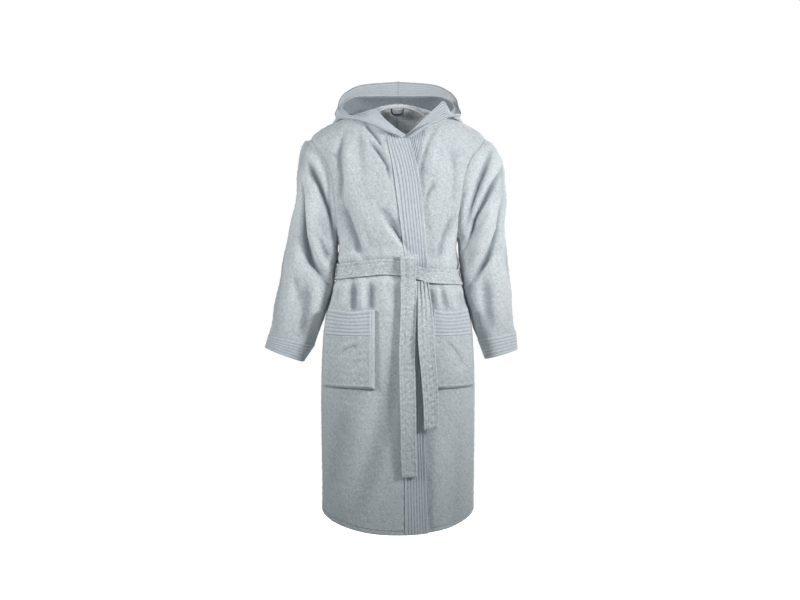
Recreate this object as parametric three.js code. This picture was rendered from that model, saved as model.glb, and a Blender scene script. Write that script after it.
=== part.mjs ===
// A hooded terry bathrobe, tied at the waist, as it hangs on an unseen wearer.
// Millimetres, +Z up, front towards -Y, the wearer's left towards +X.
// The origin is the middle of the shoulder line, where the neck seam meets the shoulders.
import * as THREE from 'three';

// ---------- driving dimensions ----------
const CLOTH = 4.5;          // terry with its pile
const BAND = 6;             // ribbed bands, two layers and a filling
const GAP = 0.6;            // sewn neighbours are kept this far apart
const LAP_DROP = 6.8;       // how far the under front lies inside the over front
const BELT_WIDTH = 45;
const BELT_CLOTH = 5;
const BELT_STAND = 2.6;     // inner face of the belt above the body surface
const HEM_HEIGHT = 19;
const HEM_CLOTH = 5.6;
const CUFF_CLOTH = 7;
const POCKET_STAND = 10;    // hollow of a patch pocket
const POCKET_CLOTH = 4;
const POCKET_TOP = -543;
const POCKET_BAND_BOTTOM = -616;
const POCKET_BOTTOM = -762;
const ARMHOLE_SWING = 38;   // half opening of the armhole, degrees round the body
const ARMHOLE_TOP = 3;      // rows of the body table
const ARMHOLE_BOTTOM = 6;
const HEM_ROW = 13;
const BODY_CENTRE_Y = 5;
const ROUNDNESS = 2.25;     // 2 is an ellipse, more is boxier

// Body rows from the neck seam to the hem: half width, height at the side, depth and height
// at the centre front, depth and height at the centre back.
const BODY_ROWS = [
  [80, 12, -115, -62, 62, 56],
  [160, 5, -119, -88, 90, 30],
  [220, -20, -122, -112, 109, -5],
  [250, -47, -124, -135, 118, -45],
  [247, -78, -125, -160, 122, -82],
  [215, -190, -125, -220, 122, -205],
  [176, -335, -118, -335, 112, -335],
  [186, -395, -110, -395, 103, -395],
  [184, -440, -106, -440, 98, -440],
  [192, -485, -111, -485, 105, -485],
  [212, -585, -124, -590, 120, -590],
  [221, -745, -132, -752, 128, -748],
  [220, -950, -138, -972, 134, -962],
  [218, -1112, -142, -1168, 138, -1150],
];

// Front edges: [height, x], from the crossing down to the hem.
const OVER_SEAM = [[-40, -36], [-140, -14], [-250, 0], [-400, 20], [-600, 17], [-1180, 20]];
const OVER_EDGE = [[-60, 28], [-110, 46], [-180, 62], [-285, 73], [-400, 82], [-880, 73], [-1180, 85]];
const UNDER_SEAM = [[-40, 88], [-140, 50], [-250, 20], [-400, -2], [-1180, -8]];
const UNDER_EDGE = [[-60, 24], [-140, -14], [-250, -48], [-400, -66], [-1180, -62]];

// Hood edge and roll line, [angle round the neck, x, y, z]: -90 is the front crossing and
// 90 the centre back. The back is the same on both sides, and the fronts differ.
const EDGE_BACK = [[12, 176, 45, 49], [30, 172, 85, 84], [50, 153, 118, 112], [68, 105, 150, 136],
  [90, 0, 165, 144]];
const ROLL_BACK = [[12, 163, 35, 47], [30, 153, 70, 71], [50, 121, 100, 90], [68, 62, 122, 96],
  [90, 0, 128, 97]];
const EDGE_RIGHT = [[-90, 6, -124, -58], [-82, -37, -120, -38], [-72, -73, -104, -20], [-60, -108, -84, -5],
  [-45, -146, -52, 6], [-25, -170, -25, 12], [-5, -182, 5, 20]];
const ROLL_RIGHT = [[-90, 24, -120, -52], [-82, -5, -110, -32], [-72, -34, -94, -6], [-60, -66, -72, 22],
  [-45, -103, -50, 30], [-25, -139, -22, 18], [-5, -150, 5, 28]];
const EDGE_LEFT = [[-90, 31, -124, -58], [-82, 62, -116, -38], [-72, 90, -100, -20], [-60, 121, -76, -7],
  [-45, 148, -48, 8], [-25, 169, -28, 16], [-5, 182, 5, 22]];
const ROLL_LEFT = [[-90, 26, -120, -52], [-82, 51, -102, -28], [-72, 78, -82, 2], [-60, 108, -52, 34],
  [-45, 130, -22, 56], [-25, 146, -8, 36], [-5, 152, 8, 28]];
const HOOD_SPLIT = 38;      // degrees: the hood is free to lift behind this
const HOOD_LIFT = [9, 18];  // middle of the hood cloth above the body: at the seam, at the slope's end
const BAG_NARROWING = 0.45;
const BAG_MERIDIAN = [[12, -62], [22, -128], [52, -150], [80, -105], [88, -25]]; // [back, up] from the slope

// Sleeves: outer x, z and inner x, z, centre y and half depth of each ring after the armhole.
const SLEEVE_RIGHT = [[284, -84, 181, -350, 6, 80], [299, -200, 190, -382, 9, 76], [313, -315, 209, -420, 12, 72],
  [331, -410, 214, -476, 14, 68], [350, -510, 221, -545, 14, 64], [366, -580, 230, -602, 12, 60],
  [374, -614, 241, -642, 10, 57]];
const SLEEVE_LEFT = [[288, -84, 181, -350, 6, 80], [304, -195, 190, -382, 9, 76], [311, -310, 209, -420, 12, 72],
  [319, -420, 212, -476, 14, 68], [329, -515, 218, -545, 14, 64], [337, -580, 224, -598, 12, 60],
  [341, -605, 232, -626, 10, 57]];
const CUFF_RIGHT = [[374, -615, 241, -643, 10, 58], [384, -651, 274, -692, 9, 55]];
const CUFF_LEFT = [[341, -606, 232, -627, 10, 58], [345, -656, 253, -684, 9, 55]];

const KNOT = { x: 30, top: -394, bottom: -466, width: 48, depth: 17 };
const LONG_TAIL = [[-468, 30, 47], [-640, 28, 46], [-800, 26, 45], [-1006, 34, 43]];   // height, x, width
const SHORT_TAIL = [[-468, 70, 26], [-560, 78, 40], [-700, 88, 45], [-872, 93, 42]];

const TERRY = '#b4bec4';
const RIBBED = '#bac4c9';
const SMOOTH = '#bcc6cb';
const DARK = '#3c4448';
const WHITE = '#e8eaea';

// ---------- small helpers ----------
const rad = THREE.MathUtils.degToRad;
const clamp = THREE.MathUtils.clamp;
const vec = (x, y, z) => new THREE.Vector3(x, y, z);
const range = (count) => Array.from({ length: count + 1 }, (_, i) => i / count);

/** Smooth curve through table rows, read at a fractional row. */
function tableAt(table, row) {
  const at = (i) => table[clamp(i, 0, table.length - 1)];
  const i = clamp(Math.floor(row), 0, table.length - 2);
  const t = clamp(row - i, 0, 1);
  return at(i).map((_, k) => {
    const [a, b, c, d] = [at(i - 1)[k], at(i)[k], at(i + 1)[k], at(i + 2)[k]];
    return 0.5 * (2 * b + (c - a) * t + (2 * a - 5 * b + 4 * c - d) * t * t + (3 * b - a - 3 * c + d) * t ** 3);
  });
}

/** Straight interpolation in rows of [key, values...]; keys rise or fall steadily. */
function lookUp(rows, key) {
  const rising = rows[1][0] > rows[0][0];
  const passed = rows.findIndex((row) => (rising ? row[0] >= key : row[0] <= key));
  const j = passed < 0 ? rows.length - 1 : Math.max(passed, 1);
  const t = clamp((key - rows[j - 1][0]) / (rows[j][0] - rows[j - 1][0]), 0, 1);
  return rows[j].slice(1).map((value, k) => THREE.MathUtils.lerp(rows[j - 1][k + 1], value, t));
}

// ---------- the body surface ----------
/** Point of the body surface: angle in degrees round the body, 0 at +X and -90 in front. */
function bodyPoint(angle, row) {
  const [side, sideZ, front, frontZ, back, backZ] = tableAt(BODY_ROWS, row);
  const c = Math.cos(rad(angle));
  const s = Math.sin(rad(angle));
  const power = 2 / ROUNDNESS;
  const depth = s < 0 ? front : back;
  const centreZ = s < 0 ? frontZ : backZ;
  return vec(
    side * Math.sign(c) * Math.abs(c) ** power,
    BODY_CENTRE_Y + (depth - BODY_CENTRE_Y) * Math.abs(s) ** power,
    sideZ + (centreZ - sideZ) * Math.abs(s) ** 1.4,
  );
}

/** Outward normal of a surface given as point(a, b). */
function normalOf(point, a, b, stepA, stepB) {
  const alongA = point(a + stepA, b).sub(point(a - stepA, b));
  const alongB = point(a, b + stepB).sub(point(a, b - stepB));
  return alongB.cross(alongA).normalize();
}

function bodyNormal(angle, row) {
  return normalOf(bodyPoint, angle, clamp(row, 0.06, HEM_ROW - 0.06), 1.5, 0.05);
}

/** Angle on the front at which the body surface has this x. */
function frontAngle(x, row) {
  const side = tableAt(BODY_ROWS, row)[0];
  const c = Math.sign(x) * (Math.abs(x) / side) ** (ROUNDNESS / 2);
  return -rad2deg(Math.acos(clamp(c, -1, 1)));
}

function rad2deg(value) {
  return THREE.MathUtils.radToDeg(value);
}

/** Row at which the centre front has this height. */
function rowAtHeight(z, column = 3) {
  let low = 0;
  let high = HEM_ROW;
  for (let i = 0; i < 30; i += 1) {
    const middle = (low + high) / 2;
    if (tableAt(BODY_ROWS, middle)[column] > z) low = middle;
    else high = middle;
  }
  return (low + high) / 2;
}

/** Angle of a front edge line at a row. */
function edgeAngle(line, row) {
  const [x] = lookUp(line, tableAt(BODY_ROWS, row)[3]);
  return frontAngle(x, row);
}

/** Half opening of the armhole at a row, in degrees. */
function armholeSwing(row) {
  const middle = (ARMHOLE_TOP + ARMHOLE_BOTTOM) / 2;
  const t = (row - middle) / (ARMHOLE_BOTTOM - middle);
  return Math.abs(t) < 1 ? ARMHOLE_SWING * Math.sqrt(1 - t * t) : 0;
}

// ---------- closed cloth shells ----------
/**
 * Closed slab of cloth on a grid of points: rows[j][i] = { p, n, high, low }, where high and low
 * are the heights of its two faces along the normal n. A ring is closed round i.
 */
function slab(rows, ring = false) {
  const across = rows[0].length;
  const down = rows.length;
  const positions = [];
  for (const side of ['high', 'low']) {
    for (const row of rows) {
      for (const at of row) positions.push(...at.p.clone().addScaledVector(at.n, at[side]).toArray());
    }
  }
  const index = (j, i, low) => (low ? down * across : 0) + j * across + (i % across);
  const faces = [];
  const quad = (a, b, c, d) => faces.push(a, b, c, a, c, d);
  const columns = ring ? across : across - 1;
  for (let j = 0; j < down - 1; j += 1) {
    for (let i = 0; i < columns; i += 1) {
      quad(index(j, i), index(j + 1, i), index(j + 1, i + 1), index(j, i + 1));
      quad(index(j, i, 1), index(j, i + 1, 1), index(j + 1, i + 1, 1), index(j + 1, i, 1));
    }
  }
  for (let i = 0; i < columns; i += 1) {
    quad(index(0, i, 1), index(0, i), index(0, i + 1), index(0, i + 1, 1));
    quad(index(down - 1, i), index(down - 1, i, 1), index(down - 1, i + 1, 1), index(down - 1, i + 1));
  }
  if (!ring) {
    for (let j = 0; j < down - 1; j += 1) {
      quad(index(j, 0), index(j, 0, 1), index(j + 1, 0, 1), index(j + 1, 0));
      quad(index(j, across - 1, 1), index(j, across - 1), index(j + 1, across - 1), index(j + 1, across - 1, 1));
    }
  }
  const geometry = new THREE.BufferGeometry();
  geometry.setAttribute('position', new THREE.Float32BufferAttribute(positions, 3));
  geometry.setIndex(signedVolume(positions, faces) > 0 ? faces : flipped(faces));
  geometry.computeVertexNormals();
  return geometry;
}

function signedVolume(positions, faces) {
  let volume = 0;
  const corner = (k) => vec(...positions.slice(3 * faces[k], 3 * faces[k] + 3));
  for (let k = 0; k < faces.length; k += 3) {
    volume += corner(k).dot(corner(k + 1).cross(corner(k + 2))) / 6;
  }
  return volume;
}

function flipped(faces) {
  const result = [];
  for (let k = 0; k < faces.length; k += 3) result.push(faces[k], faces[k + 2], faces[k + 1]);
  return result;
}

/** Slab that lies on the body between two angle lines and two rows. */
function bodySlab({ rows, across, from, to, high, low }) {
  return slab(rows.map((row) => range(across).map((u) => {
    const angle = THREE.MathUtils.lerp(from(row), to(row), u);
    const p = bodyPoint(angle, row);
    return { p, n: bodyNormal(angle, row), high: high(p, row), low: low(p, row) };
  })));
}

const group = new THREE.Group();

function add(name, geometry, color, roughness = 0.95) {
  const mesh = new THREE.Mesh(geometry, new THREE.MeshStandardMaterial({ color, roughness, metalness: 0 }));
  mesh.name = name;
  group.add(mesh);
}

// ---------- body panels ----------
const HEM_START = HEM_ROW - (HEM_ROW - 12) * (HEM_HEIGHT / 200);
const ARMHOLE_STEPS = 8;
const armholeRows = range(ARMHOLE_STEPS).map((t) => {
  const middle = (ARMHOLE_TOP + ARMHOLE_BOTTOM) / 2;
  return middle - (ARMHOLE_BOTTOM - middle) * Math.cos(Math.PI * t);
});
const PANEL_ROWS = [0, 0.5, 1.2, 2.1, ...armholeRows, 6.5, 7, 7.6, 8.2, 9, 10, 11, 12, HEM_START - 0.004];
const HEM_ROWS = [HEM_START, HEM_ROW];
const SIDE_GAP = 0.15;      // degrees between a side seam and the panel on each side of it

/** The under front lies deeper where the over front covers it. */
function lapDrop(p) {
  const [edge] = lookUp(OVER_EDGE, p.z);
  return -LAP_DROP * (1 - THREE.MathUtils.smoothstep(p.x, edge + 6, edge + 80));
}

const overSeam = (row) => edgeAngle(OVER_SEAM, row);
const overEdge = (row) => edgeAngle(OVER_EDGE, row);
const underSeam = (row) => edgeAngle(UNDER_SEAM, row);
const underEdge = (row) => edgeAngle(UNDER_EDGE, row);
const rightSide = (row) => -180 + SIDE_GAP + armholeSwing(row);
const leftSide = (row) => -SIDE_GAP - armholeSwing(row);
const seamGap = 0.5;       // degrees between a panel and its ribbed band

function panels() {
  const onBody = (thickness) => ({ high: () => 0, low: () => -thickness });
  const under = (thickness) => ({ high: lapDrop, low: (p) => lapDrop(p) - thickness });
  const right = { across: 8, from: rightSide, to: (row) => overSeam(row) - seamGap };
  const left = { across: 9, from: (row) => underSeam(row) + seamGap, to: leftSide };
  const back = {
    across: 14,
    from: (row) => SIDE_GAP + armholeSwing(row),
    to: (row) => 180 - SIDE_GAP - armholeSwing(row),
  };
  add('front_panel_right', bodySlab({ ...right, rows: PANEL_ROWS, ...onBody(CLOTH) }), TERRY);
  add('front_panel_left', bodySlab({ ...left, rows: PANEL_ROWS, ...under(CLOTH) }), TERRY);
  add('back_panel', bodySlab({ ...back, rows: PANEL_ROWS, ...onBody(CLOTH) }), TERRY);
  add('hem_front_right', bodySlab({ ...right, rows: HEM_ROWS, ...onBody(HEM_CLOTH) }), TERRY);
  add('hem_front_left', bodySlab({ ...left, rows: HEM_ROWS, ...under(HEM_CLOTH) }), TERRY);
  add('hem_back', bodySlab({ ...back, rows: HEM_ROWS, ...onBody(HEM_CLOTH) }), TERRY);
}

function frontBands() {
  const rows = [...PANEL_ROWS, HEM_ROW];
  add('front_band_right', bodySlab({
    rows, across: 3, from: overSeam, to: overEdge, high: () => 1.4, low: () => 1.4 - BAND,
  }), RIBBED);
  add('front_band_left', bodySlab({
    rows, across: 3, from: underEdge, to: underSeam,
    high: (p) => lapDrop(p) + 0.4, low: (p) => lapDrop(p) + 0.4 - BAND,
  }), RIBBED);
}

// ---------- sleeves ----------
/** One ring of a sleeve, from the top round the front. side is -1 on the wearer's right. */
function sleeveRing([outerX, outerZ, innerX, innerZ, y, depth], side, count) {
  const power = 2 / ROUNDNESS;
  return range(count).slice(0, count).map((t) => {
    const c = Math.cos(2 * Math.PI * t);
    const s = Math.sin(2 * Math.PI * t);
    const along = Math.sign(c) * Math.abs(c) ** power;
    return vec(
      side * ((outerX + innerX) / 2 + ((outerX - innerX) / 2) * along),
      y - depth * Math.sign(s) * Math.abs(s) ** power,
      (outerZ + innerZ) / 2 + ((outerZ - innerZ) / 2) * along,
    );
  });
}

/** The armhole on the body surface, matched to the sleeve rings. */
function armholeRing(side, count) {
  const middle = (ARMHOLE_TOP + ARMHOLE_BOTTOM) / 2;
  return range(count).slice(0, count).map((t) => {
    const row = middle - (ARMHOLE_BOTTOM - middle) * Math.cos(2 * Math.PI * t);
    const swing = ARMHOLE_SWING * Math.sin(2 * Math.PI * t);
    return bodyPoint(side < 0 ? -180 + swing : -swing, row);
  });
}

/** Closed tube of cloth through rings of points, its outer face on the rings. */
function tube(rings, side, high, low) {
  const count = rings[0].length;
  return slab(rings.map((ring, j) => ring.map((p, i) => {
    const before = rings[Math.max(j - 1, 0)][i];
    const after = rings[Math.min(j + 1, rings.length - 1)][i];
    const down = after.clone().sub(before);
    const round = ring[(i + 1) % count].clone().sub(ring[(i + count - 1) % count]);
    const n = round.cross(down).multiplyScalar(side).normalize();
    return { p, n, high, low };
  })), true);
}

function sleeve(name, side, table, cuffTable) {
  const count = 2 * ARMHOLE_STEPS;
  const armhole = armholeRing(side, count);
  const rings = table.map((row) => sleeveRing(row, side, count));
  const first = armhole.map((p, i) => {
    const outward = rings[0][i].clone().sub(p).normalize();
    return p.clone().addScaledVector(outward, GAP * 3);
  });
  const between = first.map((p, i) => p.clone().lerp(rings[0][i], 0.45));
  add(`sleeve_${name}`, tube([first, between, ...rings], side, 0, -CLOTH), TERRY);
  const [top, bottom] = cuffTable.map((row) => sleeveRing(row, side, count));
  const middle = top.map((p, i) => p.clone().lerp(bottom[i], 0.5));
  const start = top.map((p, i) => p.clone().lerp(bottom[i], 0.02));
  add(`cuff_${name}`, tube([start, middle, bottom], side, 1, 1 - CUFF_CLOTH), RIBBED);
}

// ---------- hood ----------
const mirrored = (rows) => rows.map(([angle, x, y, z]) => [angle, -x, y, z]);

function hoodLines(side) {
  return side < 0
    ? { edge: [...EDGE_RIGHT, ...mirrored(EDGE_BACK)], roll: [...ROLL_RIGHT, ...mirrored(ROLL_BACK)] }
    : { edge: [...EDGE_LEFT, ...EDGE_BACK], roll: [...ROLL_LEFT, ...ROLL_BACK] };
}

/** Smooth point of an edge or roll line at an angle round the neck. */
function linePoint(line, angle) {
  const j = clamp(line.findIndex((row) => row[0] >= angle), 1, line.length - 1);
  const t = (angle - line[j - 1][0]) / (line[j][0] - line[j - 1][0]);
  return vec(...tableAt(line, j - 1 + clamp(t, 0, 1)).slice(1));
}

/** Path of the hood cloth at an angle: off the neck seam, down into the bag, up to the roll line. */
function hoodPath(side, angle, hasBag) {
  const roll = linePoint(hoodLines(side).roll, angle);
  const spread = THREE.MathUtils.smoothstep(angle, 8, HOOD_SPLIT);
  const rest = THREE.MathUtils.lerp(0.2, 0.75, THREE.MathUtils.smoothstep(angle, -60, 0));
  const reach = THREE.MathUtils.lerp(rest, 4, spread);
  const turned = THREE.MathUtils.lerp(angle, 90 - (90 - angle) * BAG_NARROWING, spread);
  const slope = [0.06, 0.4, 0.72, 1].map((t) => {
    const at = THREE.MathUtils.lerp(angle, turned, t);
    const bodyAngle = side < 0 ? 180 - at : at;
    const lift = THREE.MathUtils.lerp(...HOOD_LIFT, t * spread);
    return bodyPoint(bodyAngle, reach * t).addScaledVector(bodyNormal(bodyAngle, reach * t), lift);
  });
  if (!hasBag) return new THREE.CatmullRomCurve3([slope[0], slope[1], slope[2], roll], false, 'centripetal');
  const bag = THREE.MathUtils.lerp(0.3, 1, THREE.MathUtils.smoothstep(angle, HOOD_SPLIT, 68));
  const foot = slope[3];
  const hang = BAG_MERIDIAN.map(([out, up]) => vec(foot.x, foot.y + out * bag, foot.z + up * bag));
  const below = roll.clone().add(vec(0, 44 * bag, -48 * bag));
  return new THREE.CatmullRomCurve3([...slope, ...hang, below, roll], false, 'centripetal');
}

function hoodPanel(side, fromAngle, toAngle, across, down, stop, hasBag) {
  const point = (angle, t) => hoodPath(side, angle, hasBag).getPoint(clamp(t, 0, 1));
  return slab(range(across).map((u) => {
    const angle = THREE.MathUtils.lerp(fromAngle, toAngle, u);
    return range(down).map((v) => {
      const t = v * stop;
      const n = normalOf(point, clamp(angle, -86, 88), clamp(t, 0.02, 0.98), 1.5, 0.015).multiplyScalar(side);
      return { p: point(angle, t), n, high: CLOTH / 2, low: -CLOTH / 2 };
    });
  }));
}

/** The ribbed strip between the roll line and the free edge of the hood opening. */
function collarStrip(angles, sideOf, across = 3) {
  return slab(angles.map((angle) => {
    const side = sideOf(angle);
    const at = Math.abs(angle);
    const lines = hoodLines(side);
    const point = (a, t) => linePoint(lines.roll, a).lerp(linePoint(lines.edge, a), t);
    return range(across).map((u) => {
      const t = 0.12 + 0.88 * u;
      const n = normalOf(point, clamp(at - 90, -88, 88), t, 1.5, 0.05).multiplyScalar(side);
      return { p: point(at - 90, t), n, high: BAND / 2, low: -BAND / 2 };
    });
  }));
}

function hood() {
  for (const [name, side] of [['right', -1], ['left', 1]]) {
    add(`hood_side_${name}`, hoodPanel(side, -52, HOOD_SPLIT - 1, 10, 4, 0.84, false), TERRY);
    add(`hood_bag_${name}`, hoodPanel(side, HOOD_SPLIT + 1.5, 89.7, 8, 13, 0.97, true), TERRY);
    const angles = range(13).map((t) => THREE.MathUtils.lerp(1, 90 + HOOD_SPLIT - 0.5, t));
    add(`collar_${name}`, collarStrip(angles, () => side), side < 0 ? SMOOTH : RIBBED);
  }
  const backStart = 90 + HOOD_SPLIT + 0.5;
  const backAngles = range(16).map((t) => THREE.MathUtils.lerp(-(180 - backStart), 180 - backStart, t));
  add('hood_band_back', collarStripBack(backAngles), RIBBED);
}

/** The back of the hood band in one piece; offset angles count from the centre back. */
function collarStripBack(offsets) {
  return slab(offsets.map((offset) => {
    const side = offset < 0 ? -1 : 1;
    const angle = 90 - Math.abs(offset);
    const lines = hoodLines(side);
    const point = (a, t) => linePoint(lines.roll, a).lerp(linePoint(lines.edge, a), t);
    return range(3).map((u) => {
      const t = 0.12 + 0.88 * u;
      const n = normalOf(point, clamp(angle, -88, 88), t, 1.5, 0.05).multiplyScalar(side);
      if (Math.abs(offset) < 1) n.setX(0).normalize();
      return { p: point(angle, t), n, high: BAND / 2, low: -BAND / 2 };
    });
  }));
}

// ---------- pockets ----------
function pocket(name, side) {
  const inner = side < 0 ? 63 : 89;
  const outerShare = 0.93;
  const wall = (row, share) => {
    const width = tableAt(BODY_ROWS, row)[0];
    return frontAngle(side * THREE.MathUtils.lerp(inner, width * outerShare, share), row);
  };
  const stand = (u, v, deepEnd) => {
    const rim = Math.min(u, 1 - u) / 0.08;
    const foot = deepEnd ? (1 - v) / 0.08 : 1;
    return 0.8 + (POCKET_STAND - 0.8) * clamp(Math.min(rim, foot), 0, 1) ** 0.6;
  };
  const piece = (top, bottom, steps, deepEnd) => {
    const heights = steps.map((v) => [v, THREE.MathUtils.lerp(top, bottom, v)]);
    const columns = [0, 0.04, 0.08, 0.2, 0.35, 0.5, 0.65, 0.8, 0.92, 0.96, 1];
    return slab(heights.map(([v, z]) => columns.map((u) => {
      const row = rowAtHeight(z);
      const angle = wall(row, u);
      const low = stand(u, v, deepEnd) + 0.4;
      return { p: bodyPoint(angle, row), n: bodyNormal(angle, row), high: low + POCKET_CLOTH, low };
    })));
  };
  add(`pocket_band_${name}`, piece(POCKET_TOP, POCKET_BAND_BOTTOM, [0, 0.5, 1], false), RIBBED);
  add(`pocket_${name}`, piece(POCKET_BAND_BOTTOM - 0.5, POCKET_BOTTOM, [0, 0.3, 0.6, 0.84, 0.93, 1], true), TERRY);
}

// ---------- belt ----------
/** Centre height of the belt at an angle round the waist. */
function beltHeight(angle) {
  const front = [[-180, -433], [-110, -424], [-80, -430], [-55, -443], [0, -440], [90, -435], [180, -433]];
  return lookUp(front, angle)[0];
}

function belt() {
  const count = 36;
  const ringAngles = range(count).slice(0, count).map((t) => -180 + 360 * t);
  const rows = [-0.5, 0, 0.5].map((share) => ringAngles.map((angle) => {
    const row = rowAtHeight(beltHeight(angle) - share * BELT_WIDTH, 1);
    return {
      p: bodyPoint(angle, row), n: bodyNormal(angle, row), high: BELT_STAND + BELT_CLOTH, low: BELT_STAND,
    };
  }));
  add('belt_waist', slab(rows, true), TERRY);
}

function frontDepth(x, z) {
  const row = rowAtHeight(z);
  return bodyPoint(frontAngle(x, row), row).y;
}

/** A rounded block over the belt. */
function knot() {
  const outline = new THREE.Shape();
  const half = KNOT.width / 2;
  const radius = 9;
  const height = (KNOT.top - KNOT.bottom) / 2;
  outline.moveTo(-half + radius, -height);
  outline.lineTo(half - radius, -height);
  outline.absarc(half - radius, -height + radius, radius, -Math.PI / 2, 0, false);
  outline.absarc(half - radius, height - radius, radius, 0, Math.PI / 2, false);
  outline.absarc(-half + radius, height - radius, radius, Math.PI / 2, Math.PI, false);
  outline.absarc(-half + radius, -height + radius, radius, Math.PI, 1.5 * Math.PI, false);
  const bevel = 4;
  const geometry = new THREE.ExtrudeGeometry(outline, {
    depth: KNOT.depth - 2 * bevel, bevelThickness: bevel, bevelSize: bevel, bevelOffset: -bevel,
    bevelSegments: 1, curveSegments: 2,
  });
  geometry.rotateX(Math.PI / 2);
  const middle = (KNOT.top + KNOT.bottom) / 2;
  const back = frontDepth(KNOT.x, KNOT.top) - BELT_STAND - BELT_CLOTH - 1.4;
  geometry.translate(KNOT.x, back - bevel, middle);
  add('belt_knot', geometry, TERRY);
}

/** A flat tail hanging in front of the skirt. */
function tail(name, line, stand, steps) {
  const top = line[0][0];
  const bottom = line[line.length - 1][0];
  const rows = range(steps).map((v) => {
    const z = THREE.MathUtils.lerp(top, bottom, v);
    const [x, width] = lookUp(line, z);
    return [-0.5, -0.17, 0.17, 0.5].map((u) => {
      const px = x + u * width;
      return { p: vec(px, frontDepth(px, z), z), n: vec(0, -1, 0), high: stand + BELT_CLOTH, low: stand };
    });
  });
  add(name, slab(rows), TERRY);
}

/** Upright thread loop that the belt runs through at each side seam. */
function beltLoop(name, side) {
  const angle = side < 0 ? -180 : 0;
  const centre = beltHeight(angle);
  const reach = 33;
  const strap = 2;
  const out = BELT_STAND + BELT_CLOTH + 2;
  const width = 3;
  const surface = (z) => Math.abs(bodyPoint(angle, rowAtHeight(z, 1)).x);
  const outline = new THREE.Shape();
  const at = (z, stand) => [surface(z) + stand, z];
  const outer = [at(centre + reach, 0.5), at(centre + reach - 3, out + strap), at(centre, out + strap),
    at(centre - reach + 3, out + strap), at(centre - reach, 0.5)];
  const inner = [at(centre - reach + 3, 0.5), at(centre - reach + 6, out), at(centre, out),
    at(centre + reach - 6, out), at(centre + reach - 3, 0.5)];
  [...outer, ...inner].forEach(([x, z], i) => (i ? outline.lineTo(x, z) : outline.moveTo(x, z)));
  const geometry = new THREE.ExtrudeGeometry(outline, { depth: 2 * width, bevelEnabled: false });
  geometry.rotateX(Math.PI / 2);
  geometry.translate(0, BODY_CENTRE_Y + width, 0);
  if (side < 0) geometry.rotateZ(Math.PI).translate(0, 2 * BODY_CENTRE_Y, 0);
  add(name, geometry, TERRY);
}

// ---------- neck ----------
const NAPE = { y: 62, z: 56 };

function neckPieces() {
  const label = new THREE.BoxGeometry(46, 1.4, 30);
  label.rotateX(rad(18)).translate(-2, NAPE.y - 8.5, NAPE.z - 26);
  add('neck_label', label, WHITE);

  const half = 17;
  const drop = 17;
  const thread = 2.2;
  const bend = 8;
  const curve = new THREE.CatmullRomCurve3([
    vec(-half, 0, 0), vec(-half, -1.5, -drop + bend), vec(-half + bend * 0.7, -2, -drop),
    vec(half - bend * 0.7, -2, -drop), vec(half, -1.5, -drop + bend), vec(half, 0, 0),
  ]);
  const section = new THREE.Shape().absarc(0, 0, thread, 0, 2 * Math.PI, false);
  const loop = new THREE.ExtrudeGeometry(section, { steps: 14, curveSegments: 3, extrudePath: curve });
  loop.translate(-2, NAPE.y - 17, NAPE.z - 10);
  add('hanger_loop', loop, DARK);
}

panels();
frontBands();
sleeve('right', -1, SLEEVE_RIGHT, CUFF_RIGHT);
sleeve('left', 1, SLEEVE_LEFT, CUFF_LEFT);
hood();
pocket('right', -1);
pocket('left', 1);
belt();
knot();
tail('belt_tail_long', LONG_TAIL, 9, 12);
tail('belt_tail_short', SHORT_TAIL, 16, 10);
beltLoop('belt_loop_right', -1);
beltLoop('belt_loop_left', 1);
neckPieces();

export default group;
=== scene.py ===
"""A hooded terry bathrobe, tied at the waist and filled out as worn. Metres, the front towards -Y."""
import math
from functools import partial

import bpy
import numpy as np
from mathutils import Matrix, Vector


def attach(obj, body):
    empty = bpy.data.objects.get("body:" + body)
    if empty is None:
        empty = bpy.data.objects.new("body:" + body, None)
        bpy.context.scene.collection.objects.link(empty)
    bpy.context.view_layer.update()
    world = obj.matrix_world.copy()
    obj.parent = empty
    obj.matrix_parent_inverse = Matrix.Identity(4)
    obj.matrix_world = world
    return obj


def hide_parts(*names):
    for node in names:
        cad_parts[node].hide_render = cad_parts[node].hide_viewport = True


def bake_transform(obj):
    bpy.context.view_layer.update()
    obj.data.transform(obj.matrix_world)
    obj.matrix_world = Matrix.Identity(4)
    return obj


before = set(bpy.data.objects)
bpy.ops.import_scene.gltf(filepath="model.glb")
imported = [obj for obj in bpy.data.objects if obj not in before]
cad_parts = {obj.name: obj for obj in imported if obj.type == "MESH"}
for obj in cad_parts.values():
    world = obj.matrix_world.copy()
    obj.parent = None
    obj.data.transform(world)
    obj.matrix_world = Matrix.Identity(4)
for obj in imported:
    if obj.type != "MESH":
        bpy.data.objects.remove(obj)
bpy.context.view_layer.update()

# ---------- driving dimensions, in millimetres until the mesh is made ----------
MM = 0.001
CLOTH = 4.2
BAND = 5.6
LAP_DROP = 6.8
STEP = 4.0  # grid spacing of the cloth
BELT_WIDTH = 45
BELT_CLOTH = 4.6
HEM_ROW = 13
HEM_HEIGHT = 19
BODY_CENTRE_Y = 5
ROUNDNESS = 2.25
SLOPE = 1.4  # how a row rises or falls from its side to its middle
NECK_V = 2.6  # steeper than that at the front of the neck, for a V
ARMHOLE = (3, 6, 38)  # first row, last row, half opening in degrees
POCKET_TOP = -543
POCKET_BAND_BOTTOM = -616
POCKET_BOTTOM = -764

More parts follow.
